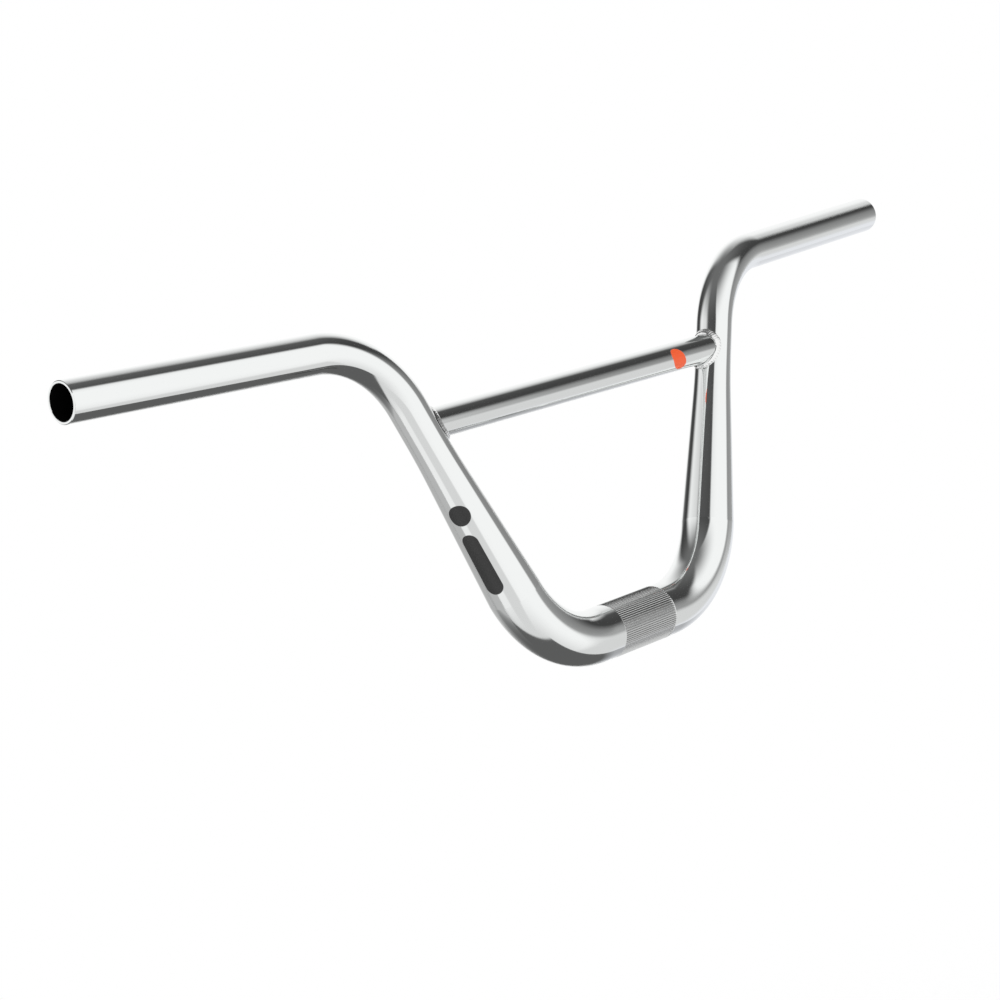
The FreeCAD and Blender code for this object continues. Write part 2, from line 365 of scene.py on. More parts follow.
@dataclass(frozen=True)
class BoreShadeFinish:
    """Unpolished inside of the tube, painted near-black: painted shade for the shadow inside the bore."""

    name: str
    # Both colours are near-black: painted shade for the shadow inside the bore, varied by a noise.
    dark: Colour = (0.001, 0.001, 0.001, 1.0)
    pale: Colour = (0.004, 0.004, 0.004, 1.0)
    stain_scale: float = 140.0
    roughness: float = 0.75
    stain_rough: float = 0.2
    gloss: float = 0.03

    def build(self) -> bpy.types.Material:
        """Make the material.

        Returns:
            The material.
        """
        material, graph = new_material(self.name)
        stain = graph.noise(graph.object_place(), self.stain_scale)
        colour = graph.blend(stain, self.dark, self.pale)
        rough = self.roughness + self.stain_rough * stain
        graph.principled({"Base Color": colour, "Roughness": rough, "Specular IOR Level": self.gloss})
        return material


def wrapped_quads(rows: int, columns: int, closed_rows: bool,
                  closed_columns: bool) -> tuple[Array, Array, Array]:
    """Join a grid of points into quads.

    Quad (i, j) runs from point (i, j) to (i, j + 1), (i + 1, j + 1) and (i + 1, j), where an index past the
    last goes back to the first if that way round is closed.

    Args:
        rows: Number of rows.
        columns: Number of points in a row.
        closed_rows: Whether the last row joins the first.
        closed_columns: Whether a row's last point joins its first.

    Returns:
        Point numbers, row numbers and column numbers of the four corners of each quad. The last two aren't
        wrapped.
    """
    down = np.arange(rows - (not closed_rows))
    across = np.arange(columns - (not closed_columns))
    i, j = np.meshgrid(down, across, indexing="ij")
    row = np.stack([i, i, i + 1, i + 1], -1).reshape(-1, 4)
    column = np.stack([j, j + 1, j + 1, j], -1).reshape(-1, 4)
    return (row % rows) * columns + column % columns, row, column


def make_piece(name: str, points: Array, closed_rows: bool, closed_columns: bool,
               materials: list[bpy.types.Material], run: Array | None = None,
               crease: float = 32.0) -> bpy.types.Object:
    """Put a grid of points into Blender as one mesh object at the origin.

    Args:
        name: The piece's name.
        points: Rows by columns by 3, in millimetres.
        closed_rows: Whether the last row joins the first.
        closed_columns: Whether a row's last point joins its first.
        materials: The piece's materials.
        run: UV along for each row or each point, from 0 to 1. Without it rows are evenly spread.
        crease: Angle in degrees past which an edge is sharp.

    Returns:
        The new object.
    """
    rows, columns = points.shape[:2]
    quads, row, column = wrapped_quads(rows, columns, closed_rows, closed_columns)
    mesh = bpy.data.meshes.new(name)
    mesh.from_pydata(points.reshape(-1, 3) * MM, [], quads.tolist())
    along = np.linspace(0.0, 1.0, rows) if run is None else run
    along = np.broadcast_to(along.reshape(rows, -1), (rows, columns))
    across = column / (columns if closed_columns else columns - 1)
    uv = np.stack([across, along[row % rows, column % columns]], -1)
    mesh.uv_layers.new(name="wrap").data.foreach_set("uv", uv.astype(np.float32).ravel())
    mesh.polygons.foreach_set("use_smooth", np.ones(len(quads), dtype=bool))
    mesh.set_sharp_from_angle(angle=math.radians(crease))
    for material in materials:
        mesh.materials.append(material)
    mesh.update()
    piece = bpy.data.objects.new(name, mesh)
    bpy.context.scene.collection.objects.link(piece)
    LOG.info("%s: %d quads", name, len(quads))
    return piece


def add_height(piece: bpy.types.Object, height: Array) -> None:
    """Store a height from 0 to 1 on each point of a piece, for its finish to read."""
    values = piece.data.attributes.new("height", "FLOAT", "POINT")
    values.data.foreach_set("value", height.astype(np.float32).ravel())


def unit(vector: Array) -> Array:
    """Vectors of length one."""
    return vector / np.linalg.norm(vector, axis=-1, keepdims=True)


def spread(start: float, end: float, step: float) -> Array:
    """Evenly spread numbers from start to end, about a step apart."""
    return np.linspace(start, end, max(2, int(round((end - start) / step)) + 1))


def circle(columns: int) -> Array:
    """Angles of points evenly spread around a circle."""
    return np.linspace(0.0, 2 * math.pi, columns, endpoint=False)


@dataclass
class Centreline:
    """The bar's centreline on one side, five tangent stretches: clamp, lower bend, leg, upper bend, grip."""

    bar_width: float = 736.6
    bar_rise: float = 199.2
    backsweep: float = 5.7
    upsweep: float = 2.0
    base_width: float = 153.8
    shoulder_width: float = 326.8
    lower_bend: float = 67.0
    upper_bend: float = 66.5

    def __post_init__(self) -> None:
        """Work out the lengths and directions of the five stretches from the sizes."""
        back, up = math.radians(self.backsweep), math.radians(self.upsweep)
        reach = (self.bar_width - self.shoulder_width) / 2
        corner_rise = self.bar_rise - reach * math.tan(up) / math.cos(back)
        self.lean = math.atan((self.shoulder_width - self.base_width) / (2 * corner_rise))
        self.leg_way = np.array([math.sin(self.lean), 0.0, math.cos(self.lean)])
        self.grip_way = np.array([
            math.cos(back) * math.cos(up), math.sin(back) * math.cos(up), math.sin(up)])
        lower_turn = math.pi / 2 - self.lean
        upper_turn = math.acos(float(self.leg_way @ self.grip_way))
        lower_tangent = self.lower_bend * math.tan(lower_turn / 2)
        upper_tangent = self.upper_bend * math.tan(upper_turn / 2)
        lengths = [
            self.base_width / 2 - lower_tangent,
            self.lower_bend * lower_turn,
            corner_rise / math.cos(self.lean) - lower_tangent - upper_tangent,
            self.upper_bend * upper_turn,
            reach / self.grip_way[0] - upper_tangent,
        ]
        self.ends = np.cumsum(lengths)
        self.half = float(self.ends[-1])
        self.leg_start = float(self.ends[1])

    @staticmethod
    def stretch(run: Array, start: Array, way: Array, turned: Array | None = None,
                radius: float = 1.0) -> tuple[Array, Array]:
        """Find points of one stretch, a line or an arc.

        Line = start + run x way. Arc = start + radius x (sin a x way + (1 - cos a) x aside), with the angle
        a = run over radius and aside square to the way, towards the second direction.

        Args:
            run: Distances from the start.
            start: The first point.
            way: The direction there.
            turned: The direction that an arc turns to. Without it the stretch is a line.
            radius: The arc's radius.

        Returns:
            The points and the unit directions.
        """
        if turned is None:
            return start + run[:, None] * way, np.broadcast_to(way, (len(run), 3))
        aside = unit(turned - (turned @ way) * way)
        angle = (run / radius)[:, None]
        points = start + radius * (np.sin(angle) * way + (1 - np.cos(angle)) * aside)
        return points, np.cos(angle) * way + np.sin(angle) * aside

    def at(self, place: Array) -> tuple[Array, Array]:
        """Find points of the whole centreline. The left side is the mirror image of the right.

        Args:
            place: Signed distances along it from the middle of the clamp, positive to the right.

        Returns:
            The points, and the unit directions in which the distance grows.
        """
        run = np.abs(place)
        across = np.array([1.0, 0.0, 0.0])
        plan = [
            (across, None, 1.0),
            (across, self.leg_way, self.lower_bend),
            (self.leg_way, None, 1.0),
            (self.leg_way, self.grip_way, self.upper_bend),
            (self.grip_way, None, 1.0),
        ]
        points, ways = np.zeros((len(run), 3)), np.zeros((len(run), 3))
        begin, start = 0.0, np.zeros(3)
        for end, (way, turned, radius) in zip(self.ends, plan):
            here = (run >= begin) if end == self.ends[-1] else (run >= begin) & (run < end)
            points[here], ways[here] = self.stretch(run[here] - begin, start, way, turned, radius)
            start = self.stretch(np.array([end - begin]), start, way, turned, radius)[0][0]
            begin = end
        sign = np.where(place < 0, -1.0, 1.0)[:, None]
        same = np.ones_like(sign)
        return points * np.hstack([sign, same, same]), ways * np.hstack([same, sign, sign])


@dataclass
class BarTube:
    """The bent and tapered main tube, open at both ends, with a shallow seat for the knurled band."""

    line: Centreline
    clamp_radius: float = 15.899
    clamp_wall: float = 2.0
    grip_radius: float = 11.06
    grip_wall: float = 1.5
    taper: float = 94.0
    blend: float = 14.0
    end_break: float = 0.35
    bore_break: float = 0.15
    band_half: float = 25.0
    band_seat: float = 0.65
    columns: int = 128
    bend_step: float = 1.1
    even_step: float = 1.5
    taper_step: float = 4.0
    grip_step: float = 5.0
    kink: float = 0.15

    def radius(self, run: Array, thick: float, thin: float) -> Array:
        """Work out the radius along the tube.

        It is thick up to the leg, narrows evenly over the taper and runs out gently into the thin part. The
        run-out is a parabola that starts at the slope of the taper and ends level, as far past the taper's
        end as it starts before it.

        Args:
            run: Distances from the middle of the clamp.
            thick: Radius at the clamp.
            thin: Radius at the grip.

        Returns:
            The radii.
        """
        past = run - self.line.leg_start
        left = np.clip(self.taper + self.blend - past, 0.0, 2 * self.blend)
        run_out = 1.0 - left ** 2 / (4 * self.blend * self.taper)
        share = np.where(left < 2 * self.blend, run_out, past / self.taper)
        return thick + (thin - thick) * np.clip(share, 0.0, 1.0)

    def outer_rings(self) -> tuple[Array, Array]:
        """Lay out the rings of one half's outside, from the band's seat to the open end.

        Rings are close together in the bends, and two lie close by the kink where the taper begins.

        Returns:
            Places and radii.
        """
        clamp, lower, leg, upper, grip = self.line.ends
        blend_start = lower + self.taper - self.blend
        run = np.concatenate([
            spread(self.band_half, clamp, self.even_step),
            spread(clamp + 0.8, lower - self.kink, self.bend_step),
            [lower],
            spread(lower + self.kink, blend_start, self.taper_step),
            spread(blend_start + 1.5, leg, self.even_step),
            spread(leg + 0.8, upper - 0.4, self.bend_step),
            spread(upper, grip - self.end_break, self.grip_step),
        ])
        low = self.clamp_radius - self.band_seat
        seat = np.array([[0.0, low], [self.band_half, low]])
        side = np.stack([run, self.radius(run, self.clamp_radius, self.grip_radius)], -1)
        bore = self.grip_radius - self.grip_wall
        lip = np.array([[grip, self.grip_radius - self.end_break], [grip, bore + self.bore_break]])
        return tuple(np.concatenate([seat, side, lip]).T)

    def inner_rings(self) -> tuple[Array, Array]:
        """Lay out the rings of one half's bore, from the open end to the middle, closer in the bends.

        Returns:
            Places and radii.
        """
        clamp, lower, leg, upper, grip = self.line.ends
        run = np.concatenate([
            [grip - self.bore_break],
            spread(grip - 3.0, upper, -12.0),
            spread(upper - 2.5, leg, -2.5),
            spread(leg - 6.0, lower + self.taper, -9.0),
            spread(lower + 84.0, lower, -12.0),
            spread(lower - 2.5, clamp, -2.5),
            spread(clamp - 9.0, 8.0, -9.0),
        ])
        thick, thin = self.clamp_radius - self.clamp_wall, self.grip_radius - self.grip_wall
        return run, self.radius(run, thick, thin)

    def build(self, polish: PolishedAlloy, inside: BoreShadeFinish) -> bpy.types.Object:
        """Build the tube as one closed loop of rings: outside left to right, and back through the bore.

        A ring is a circle across the centreline, and its first point lies on the rider's side. Point = centre
        + radius x (cos a x first + sin a x second), with the second direction across the first and the
        centreline.

        Args:
            polish: Finish of the outside and the end faces.
            inside: Finish of the bore, near-black as painted shade.

        Returns:
            The piece.
        """
        run, radius = self.outer_rings()
        back, bore = self.inner_rings()
        place = np.concatenate([-run[::-1], run[1:], back, -back[::-1]])
        size = np.concatenate([radius[::-1], radius[1:], bore, bore[::-1]])
        centre, way = self.line.at(place)
        first = unit(np.array([0.0, 1.0, 0.0]) - way[:, 1:2] * way)
        second = np.cross(way, first)
        angle = circle(self.columns)[None, :, None]
        spoke = np.cos(angle) * first[:, None] + np.sin(angle) * second[:, None]
        points = centre[:, None] + size[:, None, None] * spoke
        along = (place + self.line.half) / (2 * self.line.half)
        piece = make_piece("bar_tube", points, True, True, [polish.build(), inside.build()], along)
        outside = 2 * len(run) - 1
        slot = np.repeat((np.arange(len(place)) >= outside).astype(np.int32), self.columns)
        slot[-self.columns:] = 0
        piece.data.polygons.foreach_set("material_index", slot)
        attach(piece, "root")
        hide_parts("main_tube")
        return piece


@dataclass
class ClampKnurl:
    """The straight-knurled band around the clamp: sharp ridges along the bar and flat floors between them."""

    radius: float = 15.899
    half: float = 25.0
    depth: float = 0.28
    count: int = 78
    root_radius: float = 15.3
    phases: tuple[float, ...] = (0.0, 0.03, 0.12, 0.21, 0.5, 0.79, 0.88, 0.97)
    ridge_phase: tuple[float, ...] = (0.0, 0.03, 0.21, 0.79, 0.97, 1.0)
    ridge_height: tuple[float, ...] = (1.0, 0.93, 0.0, 0.0, 0.93, 1.0)
    insets: tuple[float, ...] = (0.0, 0.1, 0.2, 0.5, 0.9, 4.0)
    rim: float = 0.2
    rim_break: float = 0.1
    floor_start: float = 0.3

    def build(self, finish: RidgedMetal) -> bpy.types.Object:
        """Build the band as a closed ring.

        Radius = outside - depth x (1 - height) x run-out. Over one ridge the height is 1 on the narrow crest
        and falls down a straight flank to 0 on the flat floor before the next ridge. The run-out rises from 0
        at the band's rims to 1 where the floors begin.

        Args:
            finish: Finish of the band.

        Returns:
            The piece.
        """
        phase = np.array(self.phases)
        height = np.interp(phase, self.ridge_phase, self.ridge_height)
        turn = ((np.arange(self.count)[:, None] + phase[None]) / self.count).ravel()
        height = np.tile(height, self.count)
        inset = np.array(self.insets)
        place = np.concatenate([-self.half + inset, [0.0], self.half - inset[::-1]])
        run_out = np.clip((self.half - np.abs(place) - self.rim) / self.floor_start, 0.0, 1.0)
        radius = self.radius - self.depth * run_out[:, None] * (1.0 - height)[None]
        radius[[0, -1]] -= self.rim_break
        place = np.concatenate([place, place[[-1, 0]]])
        radius = np.concatenate([radius, np.full((2, len(turn)), self.root_radius)])
        angle = 2 * math.pi * turn[None]
        across = np.broadcast_to(place[:, None], radius.shape)
        points = np.stack([across, radius * np.cos(angle), radius * np.sin(angle)], -1)
        piece = make_piece("clamp_knurl", points, True, True, [finish.build()], crease=24.0)
        # Painted shade: the height is low in the floors and on the band's end faces, where the finish darkens
        # the colour.
        add_height(piece, 1.0 - np.clip((self.radius - radius) / self.depth, 0.0, 1.0))
        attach(piece, "root")
        return piece


@dataclass
class Crossbar:
    """The straight crossbar, coped at both ends to the legs."""

    line: Centreline
    height: float = 142.0
    radius: float = 8.75
    wall: float = 1.5
    leg_radius: float = 11.1
    columns: int = 96
    rings: int = 81

    def cope(self, y: Array, z: Array) -> Array:
        """Find where lines along X meet the inner side of the right leg.

        The leg's axis is at half the base width plus z times the tangent of its lean, and the near side of
        its skin is nearer by the half chord at y, over the cosine of the lean.

        Args:
            y: The lines' places along Y.
            z: The lines' places along Z.

        Returns:
            Places along X.
        """
        axis = self.line.base_width / 2 + z * math.tan(self.line.lean)
        half_chord = np.sqrt(np.maximum(self.leg_radius ** 2 - y ** 2, 0.0))
        return axis - half_chord / math.cos(self.line.lean)

    def ring(self, radius: float, share: Array) -> Array:
        """Lay out rings whose places run from the left cope at -1 to the right cope at 1.

        Args:
            radius: The rings' radius.
            share: The rings' places.

        Returns:
            Points, rings by columns by 3.
        """
        angle = circle(self.columns)
        y, z = radius * np.cos(angle), self.height + radius * np.sin(angle)
        x = share[:, None] * self.cope(y, z)[None]
        return np.stack([x, np.broadcast_to(y, x.shape), np.broadcast_to(z, x.shape)], -1)

    def build(self, finish: PolishedAlloy) -> bpy.types.Object:
        """Build the tube as one closed loop of rings: outside left to right, and back through its bore.

        Args:
            finish: Finish of the tube.

        Returns:
            The piece.
        """
        share = np.linspace(-1.0, 1.0, self.rings)
        outside, bore = self.ring(self.radius, share), self.ring(self.radius - self.wall, share[::-1])
        points = np.concatenate([outside, bore])
        along = points[..., 0] / finish.length + 0.5
        piece = make_piece("crossbar_tube", points, True, True, [finish.build()], along)
        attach(piece, "root")
        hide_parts("crossbar")
        return piece


@dataclass
class WeldBeads:
    """The two rippled weld beads where the crossbar meets the legs.

    The outline runs from the toe on the crossbar to the toe on the leg, as reaches along the crossbar and
    climbs over the leg, in bead sizes. The inner points close it inside the metal.
    """

    crossbar: Crossbar
    size: float = 2.3
    ripples: int = 44
    columns: int = 26
    rows_per_ripple: int = 8
    taller: float = 0.5
    outline_share: tuple[float, ...] = (0.0, 0.12, 0.25, 0.38, 0.52, 0.66, 0.8, 0.92, 1.0)
    outline_reach: tuple[float, ...] = (1.0, 1.14, 1.22, 1.18, 1.0, 0.74, 0.46, 0.2, 0.0)
    outline_climb: tuple[float, ...] = (0.0, 0.12, 0.3, 0.5, 0.68, 0.82, 0.92, 0.98, 1.0)
    inner_reach: tuple[float, ...] = (-0.12, -0.25, -0.12, 0.6)
    inner_climb: tuple[float, ...] = (0.6, -0.12, -0.25, -0.12)
    ripple_depth: float = 0.08
    ripple_rise: float = 0.35
    ripple_lead: float = 0.45
    ripple_dull_and_shade: float = 0.7
    toe_shade_share: float = 0.09
    strengths: tuple[float, float] = (0.3, 1.5)
    seed: int = 5

    def bead(self, side: Side) -> tuple[Array, Array]:
        """Work out one bead.

        The root line is the saddle where crossbar and leg meet. From it one direction runs along the crossbar
        and one over the leg's skin, away from the crossbar and longer above and below it. Point = root +
        swell x lift x (reach x along + climb x over). The swell is the bead's size, slightly uneven. The lift
        sinks between ripples towards the leg, by a strength drawn for each ripple with a fixed seed. A ripple
        rises quickly and falls slowly, and is shifted most in the middle of the outline.

        Args:
            side: The side of the bar.

        Returns:
            The points, and the height, which is 1 on the ripples and less between them and along the toe; the
            finish paints shade where it is low.
        """
        rows = self.ripples * self.rows_per_ripple
        turn = np.arange(rows) / rows
        angle = 2 * math.pi * turn
        bar = self.crossbar
        y, z = bar.radius * np.cos(angle), bar.height + bar.radius * np.sin(angle)
        root = np.stack([bar.cope(y, z), y, z], -1)
        along = np.broadcast_to(np.array([-1.0, 0.0, 0.0]), root.shape)
        way = bar.line.leg_way
        from_axis = root - np.array([bar.line.base_width / 2, 0.0, 0.0])
        skin = unit(from_axis - (from_axis @ way)[:, None] * way)
        outward = np.stack([0 * y, np.cos(angle), np.sin(angle)], -1)
        over = unit(outward - (outward * skin).sum(-1, keepdims=True) * skin)
        over = over * (1.0 + self.taller * np.sin(angle) ** 2)[:, None]

        within = np.zeros(len(self.inner_reach))
        share = np.linspace(0.0, 1.0, self.columns - len(within))
        bulge = np.interp(share, self.outline_share, self.outline_reach)
        slope = np.interp(share, self.outline_share, self.outline_climb)
        reach = np.concatenate([bulge, self.inner_reach])[None, :, None]
        climb = np.concatenate([slope, self.inner_climb])[None, :, None]
        crown = np.concatenate([np.sin(math.pi * share), within])[None]
        outer = np.concatenate([np.clip((share - 0.25) / 0.5, 0.0, 1.0), within])[None]
        # Painted contact shadow: the height falls to 0 at the toe on the crossbar.
        toe = np.concatenate([np.clip(share / self.toe_shade_share, 0.0, 1.0), within])[None]

        wander = 0.10 * np.sin(angle * 5) + 0.08 * np.sin(angle * 11 + 1.0)
        phase = (turn * self.ripples + wander)[:, None] + self.ripple_lead * crown
        draws = np.random.default_rng(self.seed).uniform(*self.strengths, self.ripples)
        strength = draws[np.floor(phase).astype(int) % self.ripples]
        phase = phase % 1.0
        rise = self.ripple_rise
        ripple = np.where(phase < rise, phase / rise, (1.0 - phase) / (1.0 - rise))
        ripple = ripple * ripple * (3 - 2 * ripple)

        uneven = 0.03 * np.sin(angle * 3 + 0.7) + 0.03 * np.sin(angle * 7) + 0.02 * np.sin(angle * 16)
        swell = self.size * (0.95 + uneven)
        lift = 1.0 - self.ripple_depth * strength * np.sqrt(crown) * outer * (1.0 - ripple)
        size = (swell[:, None] * lift)[..., None]
        points = root[:, None] + size * (reach * along[:, None] + climb * over[:, None])
        points = points * np.array([side.value, 1.0, 1.0])
        # Painted shade: the height drops between the ripples on the outer part and along the toe.
        height = toe * (1.0 - self.ripple_dull_and_shade * outer * (1.0 - ripple))
        return (points, height) if side is Side.LEFT else (points[:, ::-1], height[:, ::-1])

    def build(self, finish: RidgedMetal) -> list[bpy.types.Object]:
        """Build both beads, each a closed ring.

        Args:
            finish: Finish of the beads.

        Returns:
            The left and the right piece.
        """
        material = finish.build()
        made = []
        for side in Side:
            points, height = self.bead(side)
            piece = make_piece(f"weld_{side.name.lower()}", points, True, True, [material], crease=70.0)
            add_height(piece, height)
            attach(piece, "root")
            made.append(piece)
        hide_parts("weld_beads")
        return made


@dataclass(frozen=True)
class CardFinish:
    """A grey that runs through stops up a studio card and fades out towards the card's four edges.

    The fades are shares of the card at its left, right, low and high edge.
    """

    name: str
    stops: Stops
    tint: tuple[float, float, float]
    fades: Fades

    def right_side(self, graph: Graph, u: Socket, v: Socket) -> Socket:
        """How much the card covers towards its right edge: less within the fade."""
        return graph.ramp(u, 1.0, 1.0 - max(self.fades[1], LEAST_FADE))

    def cover(self, graph: Graph, u: Socket, v: Socket) -> Socket:
        """How much the card covers, from 0 to 1: all of it, less towards each edge."""
        left, _, low, high = (max(fade, LEAST_FADE) for fade in self.fades)
        return (graph.ramp(u, 0.0, left) * self.right_side(graph, u, v)
                * graph.ramp(v, 0.0, low) * graph.ramp(v, 1.0, 1.0 - high))

    def build(self) -> bpy.types.Material:
        """Make the material.

        Returns:
            The material.
        """
        material, graph = new_material(self.name)
        u, v, _ = graph.parts(graph.wrap_place())
        clear = graph.node("ShaderNodeBsdfTransparent")
        glow = graph.node("ShaderNodeEmission", {}, {"Color": graph.levels(v, self.stops, self.tint)})
        graph.mixed(self.cover(graph, u, v), clear, glow)
        return material


@dataclass(frozen=True)
class SlowFadeFinish(CardFinish):
    """A card's grey that dies away exponentially towards the card's right edge, later on its high side.

    The hold, the decay length and the lag are shares of the card. The right fade isn't used.
    """

    hold: float
    decay: float
    lag: float

    def right_side(self, graph: Graph, u: Socket, v: Socket) -> Socket:
        """How much the card covers: all up to the hold, then less by e for each decay length."""
        past = graph.math(Op.MAXIMUM, u - v * self.lag - self.hold, 0.0)
        return graph.math(Op.EXPONENT, past * (-1.0 / self.decay))


def edge_shares(fades: Fades, wide: float, tall: float) -> Fades:
    """Fades at the left, right, low and high edge as shares of a card's width and height."""
    return fades[0] / wide, fades[1] / wide, fades[2] / tall, fades[3] / tall


@dataclass(frozen=True)
class DomeCard:
    """A studio card bent around the set: a patch of a sphere that only reflections see.

    Azimuth is 0 towards the rider and grows to the bar's right side. Stops are elevations and greys. The
    fades at the left, right, low and high edge are in degrees, and the distance is in metres. The flare and
    the slant are the degrees by which the patch grows wider and its azimuth moves on over each 30 degrees of
    elevation, from 30 degrees up.
    """

    name: str
    stops: Stops
    azimuth: tuple[float, float]
    elevation: tuple[float, float]
    fades: Fades
    distance: float
    tint: tuple[float, float, float] = (1.0, 1.0, 1.0)
    flare: float = 0.0
    slant: float = 0.0

    def build(self) -> bpy.types.Object:
        """Build the patch.

        Point = distance x (sin azimuth x cos elevation, cos azimuth x cos elevation, sin elevation).

        Returns:
            The card.
        """
        wide = self.azimuth[1] - self.azimuth[0]
        low, tall = self.elevation[0], self.elevation[1] - self.elevation[0]
        elevation = np.linspace(*self.elevation, max(9, int(tall / 2)))[:, None]
        share = np.linspace(-0.5, 0.5, max(9, int(wide / 2)))[None]
        above = np.maximum(elevation - FLARE_FROM, 0.0) / FLARE_FROM
        middle = sum(self.azimuth) / 2 + self.slant * above
        azimuth = np.radians(middle + share * (wide + self.flare * above))
        elevation = np.radians(elevation)
        x = np.sin(azimuth) * np.cos(elevation)
        y = np.cos(azimuth) * np.cos(elevation)
        points = np.stack([x, y, np.broadcast_to(np.sin(elevation), x.shape)], -1) * self.distance / MM
        stops = tuple(((place - low) / tall, grey) for place, grey in self.stops)
        finish = CardFinish(self.name, stops, self.tint, edge_shares(self.fades, wide, tall))
        return make_piece(self.name, points, False, False, [finish.build()])


@dataclass(frozen=True)
class GroundCard:
    """A flat grey card far under the set, a skewed rectangle that only reflections see.

    Its depth is in metres, and its other sizes are over the depth. The edges are the directions of its low
    and left edge, in degrees from +X to +Y. The hold, decay and lag are as for its finish.
    """

    name: str
    grey: float
    corner: tuple[float, float]
    low_edge: float
    left_edge: float
    wide: float
    tall: float
    fades: Fades
    hold: float
    decay: float
    lag: float
    depth: float

    def build(self) -> bpy.types.Object:
        """Build the card.

        Point = depth x (corner + u x low edge + v x left edge), below the set by the depth.

        Returns:
            The card.
        """
        low, left = math.radians(self.low_edge), math.radians(self.left_edge)
        first = np.array([math.cos(low), math.sin(low), 0.0])
        second = np.array([math.cos(left), math.sin(left), 0.0])
        wide, tall = self.wide, self.tall
        u = np.linspace(0.0, wide, 9)[None, :, None]
        v = np.linspace(0.0, tall, 9)[:, None, None]
        points = (np.array([*self.corner, -1.0]) + u * first + v * second) * self.depth / MM
        even = ((0.0, self.grey), (1.0, self.grey))
        shares = edge_shares(self.fades, wide, tall)
        finish = SlowFadeFinish(self.name, even, (1.0, 1.0, 1.0), shares, self.hold / wide,
                                self.decay / wide, self.lag * tall / wide)
        return make_piece(self.name, points, False, False, [finish.build()])


def plain(grey: float) -> Stops:
    """Stops of an even grey."""
    return (-90.0, grey), (90.0, grey)


FLAG: Stops = ((-16.0, 0.50), (-10.0, 0.42), (-5.0, 0.335), (0.0, 0.295), (8.0, 0.232), (13.5, 0.135),
               (18.5, 0.056))
CARDS: tuple[DomeCard | GroundCard, ...] = (
    DomeCard("ceiling", plain(0.155), (-180.0, 180.0), (22.0, 90.0), (0.0, 0.0, 56.0, 0.0), 200.0),
    DomeCard("flag_front_left", plain(0.056), (-152.5, -72.0), (24.0, 90.0), (8.0, 26.0, 10.0, 0.0), 203.0,
             flare=16.0, slant=7.0),
    DomeCard("flag_left", plain(0.10), (-122.0, -66.0), (-24.0, 24.0), (12.0, 10.0, 10.0, 10.0), 203.0),
    DomeCard("flag_rider", FLAG, (-32.0, 32.0), (-16.0, 90.0), (24.0, 20.0, 10.0, 0.0), 203.0, flare=12.0),
    DomeCard("flag_right", FLAG, (91.0, 136.5), (-16.0, 90.0), (14.0, 9.0, 10.0, 0.0), 203.0, flare=24.0),
    DomeCard("flag_far_right", FLAG, (84.0, 119.0), (-17.0, 25.0), (14.0, 8.0, 10.0, 5.0), 203.5),
    DomeCard("haze_far", plain(0.50), (70.0, 112.0), (14.0, 62.0), (26.0, 4.0, 26.0, 14.0), 203.7),
    DomeCard("horizon_far", plain(0.58), (62.0, 112.0), (-10.0, 10.0), (28.0, 14.0, 6.0, 6.0), 206.0),
    DomeCard("low_front_left", plain(0.73), (-153.0, -96.0), (-90.0, -18.0), (8.0, 10.0, 0.0, 12.0), 206.0),
    DomeCard("low_rider", plain(0.48), (-75.0, 60.0), (-90.0, -2.0), (45.0, 50.0, 0.0, 12.0), 206.0),
    DomeCard("low_right", plain(0.72), (92.0, 136.0), (-90.0, -2.0), (12.0, 8.0, 0.0, 12.0), 206.0),
    DomeCard("low_far", plain(0.90), (50.0, 112.0), (-70.0, -2.0), (14.0, 12.0, 0.0, 6.0), 209.0,
             tint=(0.95, 0.96, 1.0)),
    DomeCard("low_ring", plain(0.70), (-180.0, 180.0), (-90.0, -20.0), (0.0, 0.0, 0.0, 62.0), 212.0),
    GroundCard("under_haze", grey=0.50, corner=(-1.3, 0.48), low_edge=0.0, left_edge=90.0, wide=1.3,
               tall=1.8, fades=(0.1, 0.0, 0.1, 0.9), hold=0.65, decay=0.18, lag=0.0, depth=23.5),
    GroundCard("under", grey=0.115, corner=(0.034, -0.5865), low_edge=22.0, left_edge=119.3, wide=7.7,
               tall=2.6, fades=(0.08, 0.0, 0.04, 1.4), hold=0.93, decay=0.6, lag=0.72, depth=24.0),
    GroundCard("under_left", grey=0.31, corner=(-0.74, 0.48), low_edge=-4.0, left_edge=100.0, wide=0.9,
               tall=1.7, fades=(0.10, 0.10, 0.05, 0.9), hold=2.0, decay=1.0, lag=0.0, depth=24.5),
)


